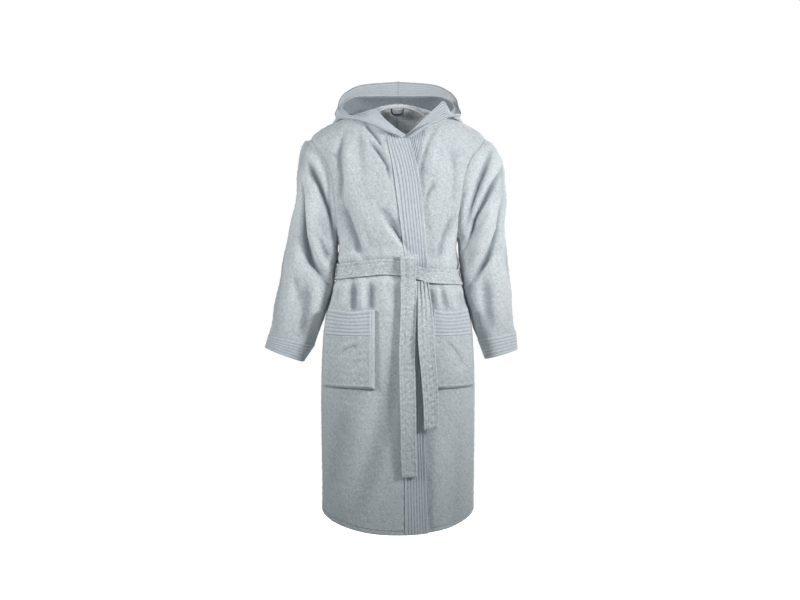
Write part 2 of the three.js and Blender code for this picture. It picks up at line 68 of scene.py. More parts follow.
# Rows from the neck seam to the hem: half width, side height, front depth and height, back depth and height.
BODY_ROWS = [
    [80, 12, -115, -62, 62, 56],
    [160, 5, -119, -88, 90, 30],
    [220, -20, -122, -112, 109, -5],
    [250, -47, -124, -135, 118, -45],
    [247, -78, -125, -160, 122, -82],
    [215, -190, -125, -220, 122, -205],
    [169, -335, -118, -335, 112, -335],
    [172, -395, -110, -395, 103, -395],
    [172, -440, -106, -440, 98, -440],
    [187, -485, -111, -485, 105, -485],
    [212, -585, -124, -590, 120, -590],
    [221, -745, -132, -752, 128, -748],
    [220, -950, -138, -972, 134, -962],
    [218, -1112, -142, -1168, 138, -1150],
]
# Front edges, [height, x].
OVER_SEAM = [[-40, -36], [-140, -14], [-250, 0], [-400, 20], [-600, 17], [-1180, 20]]
OVER_EDGE = [[-60, 28], [-110, 46], [-180, 62], [-285, 73], [-400, 82], [-880, 73], [-1180, 85]]
UNDER_SEAM = [[-40, 88], [-140, 50], [-250, 20], [-400, -2], [-1180, -8]]
UNDER_EDGE = [[-60, 24], [-140, -14], [-250, -48], [-400, -66], [-1180, -62]]
# Hood edge and roll line, [angle round the neck, x, y, z], from the front crossing to the centre back.
EDGE_BACK = [[12, 176, 45, 47], [30, 171, 85, 79], [50, 151, 118, 107], [68, 105, 150, 132],
             [90, 0, 165, 143]]
ROLL_BACK = [[12, 163, 35, 47], [30, 153, 70, 71], [50, 121, 100, 90], [68, 62, 122, 96], [90, 0, 128, 97]]
EDGE_RIGHT = [[-90, 6, -124, -58], [-82, -37, -120, -38], [-72, -73, -104, -20], [-60, -108, -84, -5],
              [-45, -146, -52, 6], [-25, -170, -25, 12], [-5, -182, 5, 20]]
ROLL_RIGHT = [[-90, 24, -120, -52], [-82, -5, -110, -32], [-72, -34, -94, -6], [-60, -66, -72, 26],
              [-45, -103, -50, 15], [-25, -138, -22, 17], [-5, -151, 5, 32]]
EDGE_LEFT = [[-90, 31, -124, -58], [-82, 62, -116, -38], [-72, 90, -100, -20], [-60, 121, -76, -7],
             [-45, 148, -48, 8], [-25, 169, -28, 16], [-5, 182, 5, 22]]
ROLL_LEFT = [[-90, 26, -120, -52], [-82, 51, -102, -28], [-72, 78, -82, 2], [-60, 108, -52, 34],
             [-45, 130, -22, 56], [-25, 146, -8, 36], [-5, 152, 8, 28]]
BAG_MERIDIAN = [[12, -62], [22, -128], [52, -150], [80, -105], [88, -25]]
# Sleeve rings after the armhole: outer x, z, inner x, z, centre y, half depth.
SLEEVE_RIGHT = [
    [274, -84, 173, -350, 6, 80], [294, -200, 174, -388, 9, 76], [313, -315, 181, -430, 12, 72],
    [331, -410, 187, -478, 14, 68], [350, -510, 204, -536, 14, 64], [366, -580, 226, -598, 12, 60],
    [374, -614, 241, -642, 10, 57],
]
SLEEVE_LEFT = [
    [290, -84, 174, -350, 6, 80], [310, -195, 176, -394, 9, 76], [311, -310, 182, -434, 12, 72],
    [319, -420, 189, -484, 14, 68], [329, -515, 204, -541, 14, 64], [337, -580, 220, -598, 12, 60],
    [341, -605, 232, -626, 10, 57],
]
# Top and bottom ring of each cuff.
CUFF_RIGHT = [[374, -615, 241, -643, 10, 58], [384, -651, 274, -692, 9, 55]]
CUFF_LEFT = [[341, -606, 232, -627, 10, 58], [345, -656, 253, -684, 9, 55]]
# Centre height of the belt, [angle round the waist, height].
BELT_LINE = [[-180, -435], [-150, -433], [-120, -427], [-95, -418], [-88, -421], [-72, -446], [-50, -448],
             [0, -449], [90, -440], [180, -435]]
# Belt ends: height, centre x, width.
LONG_TAIL = [[-462, 30, 47], [-640, 28, 46], [-800, 26, 45], [-1006, 34, 43]]
SHORT_TAIL = [[-462, 69, 30], [-560, 76, 45], [-640, 81, 47], [-700, 87, 46], [-872, 93, 42]]

# Folds: points [x, z] along the fold seen from the front, half width, height (a valley is negative), lean.
# A leaning fold is high on one side of its line and low on the other.
CHEST_FOLDS = [
    ([[-96, -8], [-84, -32], [-62, -60], [-42, -90]], 5, -7.5, 0.6),
    ([[-80, -74], [-56, -102], [-33, -138], [-26, -172]], 5, -7.5, 0.6),
    ([[-60, -52], [-36, -92], [-20, -150]], 9, 3.5, 0),
    ([[-31, -293], [24, -368]], 8, -10, 0.5),
    ([[-53, -257], [8, -330]], 12, -6, 0.5),
    ([[-154, -250], [-134, -316], [-102, -397]], 11, -12, 0.4),
    ([[-128, -250], [-112, -310], [-88, -380]], 15, 6, 0),
    ([[-158, -52], [-169, -106], [-160, -170], [-163, -230]], 8, -7, 0.4),
    ([[-140, -60], [-144, -160], [-122, -280]], 12, 4, 0),
    ([[-112, -40], [-100, -150]], 10, -3, 0.3),
    ([[-140, -90], [-120, -220], [-60, -350]], 22, 6, 0),
    ([[-178, -200], [-172, -300], [-150, -400]], 12, 7, 0),
    ([[104, -30], [80, -85], [60, -160]], 6, -7, 0.5),
    ([[112, -60], [92, -150], [70, -240]], 11, 4.5, 0),
    ([[150, -60], [158, -160], [150, -260]], 9, -4, 0.3),
    ([[106, -184], [75, -230]], 8, -7, 0.4),
    ([[161, -270], [129, -355], [120, -405]], 11, -11, -0.4),
    ([[190, -140], [172, -250], [150, -400]], 15, 7.5, 0),
    ([[120, -90], [130, -200], [90, -330]], 24, 6, 0),
    ([[60, -270], [72, -400]], 12, 4.5, 0),
]
SKIRT_FOLDS = [
    ([[-122, -462], [-126, -545]], 9, -9, 0),
    ([[-99, -470], [-101, -545]], 10, 8, 0),
    ([[-76, -462], [-76, -545]], 8, -9, 0),
    ([[-150, -462], [-160, -540]], 11, 5, 0),
    ([[-40, -470], [-30, -560]], 15, 4, 0),
    ([[91, -475], [92, -540]], 9, -9, 0),
    ([[107, -475], [116, -545]], 9, 8, 0),
    ([[123, -475], [140, -540]], 8, -9, 0),
    ([[150, -480], [165, -550]], 11, 5, 0),
    ([[177, -485], [191, -535]], 9, -6.5, 0),
    ([[-10, -640], [-55, -900], [-120, -1140]], 36, -6, 0.2),
    ([[-70, -800], [-120, -960], [-190, -1130]], 32, 6, 0),
    ([[-150, -800], [-205, -1080]], 28, -4.5, 0),
    ([[140, -800], [120, -1150]], 32, 4.5, 0),
    ([[180, -820], [165, -1150]], 25, -4.5, 0),
]
SLEEVE_FOLDS_RIGHT = [
    ([[-227, -70], [-199, -134], [-192, -180], [-186, -273], [-180, -330]], 10, -11, -0.5),
    ([[-232, -110], [-208, -165], [-192, -235]], 11, 6, 0),
    ([[-252, -120], [-218, -185], [-192, -262]], 9, -14, -0.7),
    ([[-273, -190], [-268, -273], [-263, -332], [-240, -401], [-202, -458]], 11, -19, -0.9),
    ([[-240, -210], [-232, -300], [-205, -390]], 19, 11, 0),
    ([[-222, -330], [-196, -400]], 10, -7.5, -0.4),
    ([[-300, -380], [-315, -500], [-330, -600]], 25, 6, 0),
    ([[-262, -470], [-262, -560], [-275, -620]], 15, -9, 0),
    ([[-225, -480], [-236, -560]], 13, 6, 0),
    ([[-300, -440], [-280, -520]], 11, -5, 0.3),
]
SLEEVE_FOLDS_LEFT = [
    ([[262, -95], [230, -174], [205, -253], [186, -330]], 10, -12.5, 0.5),
    ([[296, -140], [252, -213], [213, -288], [194, -358]], 10, -15, 0.8),
    ([[291, -255], [286, -312], [268, -357], [243, -404], [204, -466]], 11, -15, 0.8),
    ([[272, -240], [244, -320], [212, -390]], 19, 10, 0),
    ([[290, -400], [300, -500], [306, -590]], 23, 6, 0),
    ([[250, -450], [256, -540], [268, -600]], 15, -7.5, 0),
    ([[226, -480], [234, -560]], 13, 5, 0),
]


# ---------- curves and surfaces ----------
def ease(x, low, high):
    """A smooth step from 0 at low to 1 at high."""
    t = np.clip((x - low) / (high - low), 0, 1)
    return t * t * (3 - 2 * t)


def bell(x, width):
    return np.exp(-((x / width) ** 2))


def table_at(table, row):
    """Catmull-Rom curve through table rows, read at fractional rows (an array)."""
    table = np.asarray(table, float)
    row = np.clip(np.asarray(row, float), 0, len(table) - 1)
    i = np.minimum(row.astype(int), len(table) - 2)
    t = (row - i)[..., None]
    last = len(table) - 1
    a, b = table[np.maximum(i - 1, 0)], table[i]
    c, d = table[i + 1], table[np.minimum(i + 2, last)]
    return 0.5 * (2 * b + (c - a) * t + (2 * a - 5 * b + 4 * c - d) * t**2 + (3 * b - a - 3 * c + d) * t**3)


def arc_length(points):
    """Length of a path up to each of its points."""
    return np.concatenate([[0], np.cumsum(np.linalg.norm(np.diff(points, axis=0), axis=1))])


def evenly(keys, points, count):
    """Keys of the places that split a path into equal lengths; points are the path at keys."""
    length = arc_length(points)
    return np.interp(np.linspace(0, length[-1], count + 1), length, keys)


def line_at(rows, key, spread=18.0):
    """Values of [key, value] rows at key, rounded off at the rows' corners."""
    rows = np.asarray(rows, float)
    rows = rows[np.argsort(rows[:, 0])]
    shifts = np.linspace(-spread, spread, 5)
    return np.mean([np.interp(key + s, rows[:, 0], rows[:, 1]) for s in shifts], axis=0)


def body_point(angle, row):
    """Body surface: angle in degrees round the body, 0 at +X and -90 in front."""
    side, side_z, front, front_z, back, back_z = np.moveaxis(table_at(BODY_ROWS, row), -1, 0)
    c, s = np.cos(np.radians(angle)), np.sin(np.radians(angle))
    power = 2 / ROUNDNESS
    depth = np.where(s < 0, front, back)
    centre_z = np.where(s < 0, front_z, back_z)
    x = side * np.sign(c) * np.abs(c) ** power
    y = BODY_CENTRE_Y + (depth - BODY_CENTRE_Y) * np.abs(s) ** power
    slope = np.where(s < 0, SLOPE + NECK_V * (1 - ease(row, 0, 2.2)), SLOPE)
    return np.stack([x, y, side_z + (centre_z - side_z) * np.abs(s) ** slope], -1)


def unit(v):
    return v / np.maximum(np.linalg.norm(v, axis=-1, keepdims=True), 1e-9)


def body_normal(angle, row):
    row = np.clip(row, 0.06, HEM_ROW - 0.06)
    along = body_point(angle + 1, row) - body_point(angle - 1, row)
    down = body_point(angle, row + 0.04) - body_point(angle, row - 0.04)
    return unit(np.cross(down, along))


def front_angle(x, row):
    """Angle in front at which the body surface has this x."""
    side = table_at(BODY_ROWS, row)[..., 0]
    c = np.sign(x) * (np.abs(x) / side) ** (ROUNDNESS / 2)
    return -np.degrees(np.arccos(np.clip(c, -1, 1)))


FINE_ROWS = np.linspace(0, HEM_ROW, 1301)


def row_at_height(z, column=3):
    """Row whose centre front (column 3) or side (column 1) has this height."""
    heights = table_at(BODY_ROWS, FINE_ROWS)[:, column]
    return np.interp(-np.asarray(z, float), -heights, FINE_ROWS)


def edge_angle(line, row):
    return front_angle(line_at(line, table_at(BODY_ROWS, row)[..., 3]), row)


def armhole_swing(row):
    first, last, swing = ARMHOLE
    t = (row - (first + last) / 2) / ((last - first) / 2)
    return swing * np.sqrt(np.clip(1 - t * t, 0, 1))


def full_turn(count):
    """Angles evenly round a circle, in radians."""
    return np.linspace(0, 2 * np.pi, count, endpoint=False)


def even_rows(first, last, step=STEP):
    """Rows from first to last, evenly spaced down the front of the body."""
    rows = np.linspace(first, last, 800)
    points = body_point(np.full_like(rows, -60.0), rows)
    return evenly(rows, points, max(2, int(arc_length(points)[-1] / step)))


# ---------- folds and pile ----------
def fold_field(x, z, folds):
    """Height of all folds at points x, z seen from the front."""
    total = np.zeros_like(x)
    for points, width, height, lean in folds:
        points = np.asarray(points, float)
        lengths = np.linalg.norm(np.diff(points, axis=0), axis=1)
        whole = lengths.sum()
        best = np.full_like(x, 1e9)
        value = np.zeros_like(x)
        start = 0.0
        for (a, b), length in zip(zip(points[:-1], points[1:]), lengths):
            d = (b - a) / length
            t = np.clip((x - a[0]) * d[0] + (z - a[1]) * d[1], 0, length)
            dx, dz = x - a[0] - t * d[0], z - a[1] - t * d[1]
            distance = np.hypot(dx, dz)
            signed = np.sign(dx * d[1] - dz * d[0]) * distance
            share = (start + t) / whole
            taper = ease(share, -0.15, 0.3) * ease(1 - share, -0.15, 0.3)
            profile = bell(distance, width)
            step = -lean * np.tanh(signed / (0.5 * width)) * bell(distance, 2.4 * width)
            here = height * taper * (profile + step)
            value = np.where(distance < best, here, value)
            best = np.minimum(best, distance)
            start += length
        total += value
    return total


def waves(points, wavelength, seed, count=26):
    """Soft random field of about unit height and the given wavelength."""
    rng = np.random.default_rng(seed)
    total = np.zeros(points.shape[:-1])
    for _ in range(count):
        direction = unit(rng.normal(size=3))
        k = direction * 2 * np.pi / (wavelength * rng.uniform(0.7, 1.5))
        total += np.sin(points @ k + rng.uniform(0, 2 * np.pi))
    return total / math.sqrt(count / 2)


def pile(points, strength=1.0):
    """Tufts of the terry, from clumps down to the grid's own size."""
    tufts = 0.12 * waves(points, 26, 1) + 0.2 * waves(points, 13, 2) + 0.4 * waves(points, 8.5, 3)
    return strength * tufts


def from_belt(points, angle):
    """Distance above or below the belt's edges; negative under the belt."""
    return np.abs(points[..., 2] - belt_height(angle)) - BELT_WIDTH / 2


def waist_gathers(points, angle):
    """Small pleats above and below the belt, all the way round, and the fullness that it squeezes out."""
    away = from_belt(points, angle)
    near = bell(np.clip(away, 0, None), 50)
    ripple = np.sin(np.radians(angle) * 17 + 1.3 * np.sin(np.radians(angle) * 5))
    ripple += 0.6 * np.sin(np.radians(angle) * 29 + 2.0)
    back = ease(points[..., 1], 0, 60)
    return (1.2 + 2.8 * back) * near * ripple + 3.5 * bell(away - 16, 16)


BACK_DRAPE = 7  # height of the skirt's folds behind
BACK_YOKE = 4.5  # height of the folds between the shoulders and the belt behind


def body_relief(points, angle):
    """Everything that lifts the body's cloth off its smooth surface, apart from the pile."""
    x, y, z = np.moveaxis(points, -1, 0)
    front = ease(-y, -30, 30)
    relief = front * fold_field(x, z, CHEST_FOLDS + SKIRT_FOLDS)
    behind = ease(y, 0, 60)
    drape = BACK_DRAPE * np.sin(x / 34 + 0.4 * np.sin(z / 160)) * ease(-z, 480, 1000)
    yoke = BACK_YOKE * np.sin(x / 45 + z / 90) * ease(-z, 90, 200) * ease(z, -430, -300)
    relief = relief + behind * (drape + yoke) + waist_gathers(points, angle)
    relief = relief * ease(from_belt(points, angle), -9, 7)
    below_collar = -z + 0.35 * np.abs(x)
    collar = np.where(relief > 0, ease(below_collar, 62, 110), ease(below_collar, 30, 62))
    return relief * np.where(y < 0, collar, 1)


def belt_height(angle):
    """Centre height of the belt at an angle round the waist."""
    angle = (np.asarray(angle, float) + 180) % 360 - 180
    return line_at(BELT_LINE, angle, 12)


def lap_drop(points):
    """The under front lies deeper where the over front covers it."""
    edge = line_at(OVER_EDGE, points[..., 2])
    return -LAP_DROP * (1 - ease(points[..., 0], edge + 4, edge + 60))


# ---------- closed cloth meshes ----------
def placed(name, data):
    """A new object in the scene."""
    obj = bpy.data.objects.new(name, data)
    bpy.context.scene.collection.objects.link(obj)
    return obj


def grid_normals(points, ring):
    """Outward normals of a grid: columns round the body, rows downwards."""
    if ring:
        along = np.roll(points, -1, 1) - np.roll(points, 1, 1)
    else:
        along = np.gradient(points, axis=1)
    return unit(np.cross(np.gradient(points, axis=0), along))


def slab_mesh(name, outer, inner, ring=False):
    """Closed mesh between two grids of points."""
    down, across = outer.shape[:2]
    points = np.concatenate([outer.reshape(-1, 3), inner.reshape(-1, 3)]) * MM
    index = np.arange(down * across).reshape(down, across)
    if ring:
        index = np.concatenate([index, index[:, :1]], 1)
    below = index + down * across
    quads = [
        (index[:-1, :-1], index[1:, :-1], index[1:, 1:], index[:-1, 1:]),
        (below[:-1, :-1], below[:-1, 1:], below[1:, 1:], below[1:, :-1]),
        (below[0, :-1], index[0, :-1], index[0, 1:], below[0, 1:]),
        (index[-1, :-1], below[-1, :-1], below[-1, 1:], index[-1, 1:]),
    ]
    if not ring:
        quads.append((index[:-1, 0], below[:-1, 0], below[1:, 0], index[1:, 0]))
        quads.append((below[:-1, -1], index[:-1, -1], index[1:, -1], below[1:, -1]))
    faces = np.concatenate([np.stack(corners, -1).reshape(-1, 4) for corners in quads])
    mesh = bpy.data.meshes.new(name)
    mesh.from_pydata(points, [], faces)
    mesh.validate()
    mesh.shade_smooth()
    return placed(name, mesh)


def blurred(field, reach, ring):
    """Mean of a grid field over a square neighbourhood."""
    mode = ["edge", "wrap" if ring else "edge"]
    for axis in (0, 1):
        pads = [(0, 0), (0, 0)]
        pads[axis] = (reach, reach)
        padded = np.pad(field, pads, mode=mode[axis])
        total = np.cumsum(np.insert(padded, 0, 0, axis=axis), axis=axis)
        wide = 2 * reach + 1
        upper = np.take(total, np.arange(wide, total.shape[axis]), axis=axis)
        lower = np.take(total, np.arange(0, total.shape[axis] - wide), axis=axis)
        field = (upper - lower) / wide
    return field


def write_painted_shading(obj, height, inner, reach, depth, ring, extra=0.0, lining=0.0):
    """Painted shading: crests are painted paler and valleys darker, standing in for light and shade on the
    pile; 0.5 is neither.

    reach and depth are a crest's width and height; the last two arguments shift the outer and the inner
    face, for painted light and shade in given places.
    """
    painted_shading = 0.5 + 0.5 * np.tanh((height - blurred(height, reach, ring)) / depth) + extra
    under = 0.5 - 0.5 * np.tanh((inner - blurred(inner, reach, ring)) / depth) + lining
    values = np.concatenate([painted_shading.ravel(), under.ravel()])
    obj.data.attributes.new("painted_shading", "FLOAT", "POINT").data.foreach_set("value", values.astype(np.float32))


def declare(obj, fabric, nodes, bodies=("robe",), **sheet):
    """Gives a piece its material and hides its CAD nodes; with one body it is parented to that body, and
    with a bend its transform is applied in place.

    sheet, a cloth's flat size and how it is held, is not used.
    """
    material, slot = fabric
    obj.data.materials.append(material)
    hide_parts(*nodes)
    if len(bodies) > 1:
        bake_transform(obj)
    else:
        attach(obj, *bodies)


def cloth(name, base, normal, high, low, fabric, nodes, rough=1.0, ring=False, held="hung", bend=("robe",),
          relief=0.0, flat=None, painted_shading=(7, 5.0), outer_shading=0.0, lining=0.0):
    """A cloth piece between two heights over a base grid, with painted shade in its valleys and painted
    highlights on its crests.
    """
    height = high + relief + pile(base, rough)
    outer = base + normal * height[..., None]
    under = low + relief + 0.4 * pile(base + 50, rough)
    obj = slab_mesh(name, outer, base + normal * under[..., None], ring)
    write_painted_shading(obj, height, under, *painted_shading, ring, outer_shading, lining)
    wide = np.linalg.norm(np.diff(base, axis=1), axis=-1).sum(1).mean()
    long = np.linalg.norm(np.diff(base, axis=0), axis=-1).sum(0).mean()
    if ring:
        wide *= base.shape[1] / (base.shape[1] - 1)
    declare(obj, fabric, nodes, bend, flat=flat or (float(wide) * MM, float(long) * MM), held=held)


# ---------- materials ----------
def ramp(tree, stops):
    """Colour ramp node from [position, grey level or colour] stops."""
    node = tree.nodes.new("ShaderNodeValToRGB")
    elements = node.color_ramp.elements
    while len(elements) < len(stops):
        elements.new(0.5)
    for element, (position, value) in zip(elements, stops):
        element.position = position
        element.color = (*value, 1) if hasattr(value, "__len__") else (value, value, value, 1)
    return node


def times(tree, a, b, factor):
    """Multiplies two colours; returns the result's socket."""
    node = tree.nodes.new("ShaderNodeMix")
    node.data_type = "RGBA"
    node.blend_type = "MULTIPLY"
    node.inputs[0].default_value = factor
    tree.links.new(a, node.inputs[6])
    tree.links.new(b, node.inputs[7])
    return node.outputs[2]


def cloth_material(name, color, tuft=430.0, clump=200.0, bump=0.55, mottle=0.12, rough=0.95, sheen=0.3):
    """Terry or velour: mottled colour, a tufted surface and a soft sheen."""
    material = bpy.data.materials.new(name)
    material.use_nodes = True
    tree = material.node_tree
    shader = tree.nodes["Principled BSDF"]
    for key, value in (("Roughness", rough), ("Specular IOR Level", 0.12), ("Sheen Weight", sheen),
                       ("Sheen Roughness", 0.55)):
        shader.inputs[key].default_value = value
    place = tree.nodes.new("ShaderNodeTexCoord")

    def noise(scale, detail):
        node = tree.nodes.new("ShaderNodeTexNoise")
        node.inputs["Scale"].default_value = scale
        node.inputs["Detail"].default_value = detail
        tree.links.new(place.outputs["Object"], node.inputs["Vector"])
        return node.outputs["Fac"]

    clumps, tufts, wash = noise(clump, 2.0), noise(tuft, 2.0), noise(7.0, 2.0)
    mix = tree.nodes.new("ShaderNodeMix")
    mix.inputs[0].default_value = 0.5
    tree.links.new(clumps, mix.inputs[2])
    tree.links.new(tufts, mix.inputs[3])
    dark = [channel * (1 - mottle * 1.8) for channel in color]
    light = [min(1.0, channel * (1 + mottle)) for channel in color]
    shade = ramp(tree, [(0.36, dark), (0.62, light)])
    tree.links.new(mix.outputs[0], shade.inputs["Fac"])
    patches = ramp(tree, [(0.25, (0.86, 0.88, 0.90)), (0.75, (1, 1, 1))])
    tree.links.new(wash, patches.inputs["Fac"])
    # The painted shading attribute darkens the colour in valleys and hollows, a bluish painted shade, and
    # lightens it on crests and edges, a painted highlight.
    painted_shading = tree.nodes.new("ShaderNodeAttribute")
    painted_shading.attribute_name = "painted_shading"
    shading_ramp = ramp(tree, [(0.0, (0.46, 0.49, 0.52)), (0.5, (0.86, 0.865, 0.87)), (1.0, (1, 1, 1))])
    tree.links.new(painted_shading.outputs["Fac"], shading_ramp.inputs["Fac"])
    tinted = times(tree, shade.outputs["Color"], patches.outputs["Color"], 0.6)
    tree.links.new(times(tree, tinted, shading_ramp.outputs["Color"], 1.0), shader.inputs["Base Color"])
    surface = shader.inputs["Normal"]
    for height, distance in ((tufts, 0.0012), (clumps, 0.0018)):
        node = tree.nodes.new("ShaderNodeBump")
        node.inputs["Strength"].default_value = bump
        node.inputs["Distance"].default_value = distance
        tree.links.new(height, node.inputs["Height"])
        tree.links.new(node.outputs["Normal"], surface)
        surface = node.inputs["Normal"]
    return material


# Each fabric is a material and its slot.
TERRY = (cloth_material("terry", (0.665, 0.705, 0.715)), "terry")
RIBBED = (cloth_material("ribbed_velour", (0.66, 0.70, 0.725), tuft=700.0, bump=0.2, mottle=0.05), "ribbed")
BELT = (cloth_material("belt_terry", (0.675, 0.71, 0.72), tuft=520.0, bump=0.75, mottle=0.16), "belt")
LABEL = (cloth_material("label_tape", (0.72, 0.73, 0.73), tuft=1400.0, bump=0.1, mottle=0.02, rough=0.6,
                        sheen=0.1), "label")
LOOP_THREAD = (BELT[0], "terry")
CORD = (cloth_material("hanger_cord", (0.03, 0.036, 0.042), tuft=1200.0, bump=0.3, mottle=0.1, rough=0.8),
        "hanger")

# ---------- body ----------
HEM_START = HEM_ROW - HEM_HEIGHT / 200  # the last rows are about 200 mm apart
HEM_CLOTH = (0.9, -5.2)  # heights of a hem's outer and inner face
HEM_WIDTH = 0.021  # flat, in metres


def body_grid(rows, start, end, share):
    """Points, normals and angles of the body between two side lines, at shares of the way across."""
    first, last = start(rows), end(rows)
    angle = first[:, None] + (last - first)[:, None] * share
    row = np.broadcast_to(rows[:, None], angle.shape)
    base = body_point(angle, row)
    return base, body_normal(angle, row), angle


def body_cloth(name, rows, start, end, across, node, faces=(0.0, -CLOTH), under=False, **more):
    base, normal, angle = body_grid(rows, start, end, np.linspace(0, 1, across + 1))
    relief = body_relief(base, angle)
    if under:
        relief = relief * 0.6 + lap_drop(base)
    cloth(name, base, normal, *faces, TERRY, [node], relief=relief, **more)


over_seam, over_edge = partial(edge_angle, OVER_SEAM), partial(edge_angle, OVER_EDGE)
under_seam, under_edge = partial(edge_angle, UNDER_SEAM), partial(edge_angle, UNDER_EDGE)


def make_body():
    """The two fronts and the back, each with its turned hem."""
    right = (lambda row: -180 + armhole_swing(row), over_seam, 72)
    left = (under_seam, lambda row: -armhole_swing(row), 78)
    back = (armhole_swing, lambda row: 180 - armhole_swing(row), 130)
    rows = even_rows(0, HEM_START)
    # Painted light: the inside of the back is painted lighter near the neck seam, where it lies in shade.
    nape_painted_light = 0.5 * ease(rows, 3.0, 0.8)[:, None]
    body_cloth("right_front_cloth", rows, *right, "front_panel_right")
    body_cloth("left_front_cloth", rows, *left, "front_panel_left", under=True)
    body_cloth("back_cloth", rows, *back, "back_panel", lining=nape_painted_light)
    rows = even_rows(HEM_START, HEM_ROW, 3.0)
    hem = {"faces": HEM_CLOTH, "held": "folded"}
    body_cloth("right_hem", rows, *right, "hem_front_right", flat=(0.275, HEM_WIDTH), **hem)
    body_cloth("left_hem", rows, *left, "hem_front_left", under=True, flat=(0.285, HEM_WIDTH), **hem)
    body_cloth("back_hem", rows, *back, "hem_back", flat=(0.52, HEM_WIDTH), **hem)


def ribs(share, count, depth):
    """Round ribs with narrow stitched valleys between them, across a band."""
    return depth * (np.abs(np.sin(np.pi * share * count)) ** 0.5 - 0.75)


def bead(share, at, width):
    """A rounded cord along a line of a band."""
    return np.sqrt(np.clip(1 - ((share - at) / width) ** 2, 0, 1))


BAND_FLAT = (0.072, 1.17)
BAND_RIBS = (8, 2.4)  # number and depth
BAND_RISE = np.array([15, 10, 5])  # the over band goes on up behind the lapel, in three rows
BAND_LEAN = np.array([0, 0.7, 0.7])  # and leans back there


def front_band(which, start, end, high, under):
    """The ribbed band down a front's edge, with piped sides."""
    rise = BAND_RISE[:0] if under else BAND_RISE
    rows = np.concatenate([0 * rise, even_rows(0, HEM_ROW, 3.5)])
    share = np.linspace(0, 1, 72)
    base, normal, angle = body_grid(rows, start, end, share)
    taper = 0.1 + 0.9 * ease(share, 1, 0.55)
    base[:len(rise)] += rise[:, None, None] * BAND_LEAN * taper[:, None]
    outer_edge = bead(share, 0.975, 0.028) + bead(share, 0.02, 0.025)
    profile = ribs(share, *BAND_RIBS) * (1 - bead(share, 0.97, 0.05)) + 1.6 * outer_edge
    relief = 0.5 * body_relief(base, angle)
    if under:
        relief = relief + lap_drop(base)
    height = high + profile + relief + pile(base, 0.2)
    inner = relief + high - BAND
    outer = base + normal * height[..., None]
    obj = slab_mesh(f"{which}_front_band", outer, base + normal * inner[..., None])
    # Painted highlight along the piped edges; the rest of the band is a little darker in tone.
    write_painted_shading(obj, height, inner, 3, 0.9, False, 0.45 * outer_edge - 0.08)
    declare(obj, RIBBED, [f"front_band_{which}"], flat=BAND_FLAT, held="hung")


# ---------- sleeves ----------
def armhole_ring(side, turn, higher=0.0, wider=0.0):
    """The armhole on the body's surface, or a ring on the body around it."""
    first, last, swing = ARMHOLE
    row = (first + last) / 2 - ((last - first) / 2 + higher * (1 + np.cos(turn)) / 2) * np.cos(turn)
    angle = (swing + wider) * np.sin(turn)
    return body_point(np.where(side < 0, -180 + angle, -angle), row)


def sleeve_ring(row, side, turn):
    outer_x, outer_z, inner_x, inner_z, y, depth = row
    power = 2 / ROUNDNESS
    c, s = np.cos(turn), np.sin(turn)
    along = np.sign(c) * np.abs(c) ** power
    return np.stack([
        side * ((outer_x + inner_x) / 2 + (outer_x - inner_x) / 2 * along),
        y - depth * np.sign(s) * np.abs(s) ** power,
        (outer_z + inner_z) / 2 + (outer_z - inner_z) / 2 * along,
    ], -1)


def sleeve_surface(side, table, turns, count):
    """Rings of the sleeve, evenly spaced along its middle, starting just inside the armhole."""
    hole = armhole_ring(side, turns)
    within = armhole_ring(side, turns, 1.0, 13)
    rings = np.array([within, hole, *[sleeve_ring(row, side, turns) for row in table]])
    flat = rings.reshape(len(rings), -1)
    keys = np.linspace(1, len(rings) - 1, 400)
    smooth = table_at(flat, keys).reshape(len(keys), len(turns), 3)
    at = evenly(keys, smooth.mean(1), count)
    return table_at(flat, at).reshape(count + 1, len(turns), 3), np.linspace(0, 1, count + 1)


def outward(points, side):
    """Normals of sleeve rings, which run from the top round the front."""
    return -side * grid_normals(points, True)


SIDE_CREASE = 3.8  # height of the creases on the sleeve's outer side
SIDE_STRETCH = np.array([1, 1, 0.38])  # they run down the arm
BACK_CREASE = 4
SLEEVE_AWAY = np.array([0.968, 0, -0.252])  # from the left armhole's plane outwards
SLEEVE_BEND = 0.09  # metres between the two points of a sleeve's bend line
CUFF_CLOTH = (1.4, -5.6)  # heights of a cuff's outer and inner face
CUFF_RIBS = (6, 1.7)  # number and depth


def sleeve(name, side, table, cuff_table, folds):
    """A sleeve with its cuff, from the armhole to the wrist."""
    turns = full_turn(108)
    base, share = sleeve_surface(side, table, turns, 150)
    normal = outward(base, side)
    x, _, z = np.moveaxis(base, -1, 0)
    inner_edge = ease(side * normal[..., 0], -1.0, -0.8)
    front = ease(-normal[..., 1], -0.1, 0.45) * inner_edge
    relief = front * fold_field(x, z, folds)
    behind = ease(normal[..., 1], 0, 0.5)
    relief += behind * BACK_CREASE * np.sin(z / 38 + side * x / 60) * ease(share, 0.05, 0.25)[:, None]
    aside = ease(side * normal[..., 0], 0.1, 0.6) * (1 - 0.6 * front)
    relief += aside * SIDE_CREASE * waves(base * SIDE_STRETCH, 62, 5)
    relief *= ease(share, 0, 0.05)[:, None] * ease(share, 1.02, 0.93)[:, None]
    hole = armhole_ring(side, turns).mean(0) * MM
    away = SLEEVE_AWAY * (side, 1, 1)
    bend = ("robe", f"{name}_sleeve", tuple(hole), tuple(hole + SLEEVE_BEND * away))
    cloth(f"{name}_sleeve_cloth", base, normal, 0.0, -CLOTH, TERRY, [f"sleeve_{name}"], ring=True,
          relief=relief, bend=bend)
    cuff(name, side, cuff_table, turns, bend)


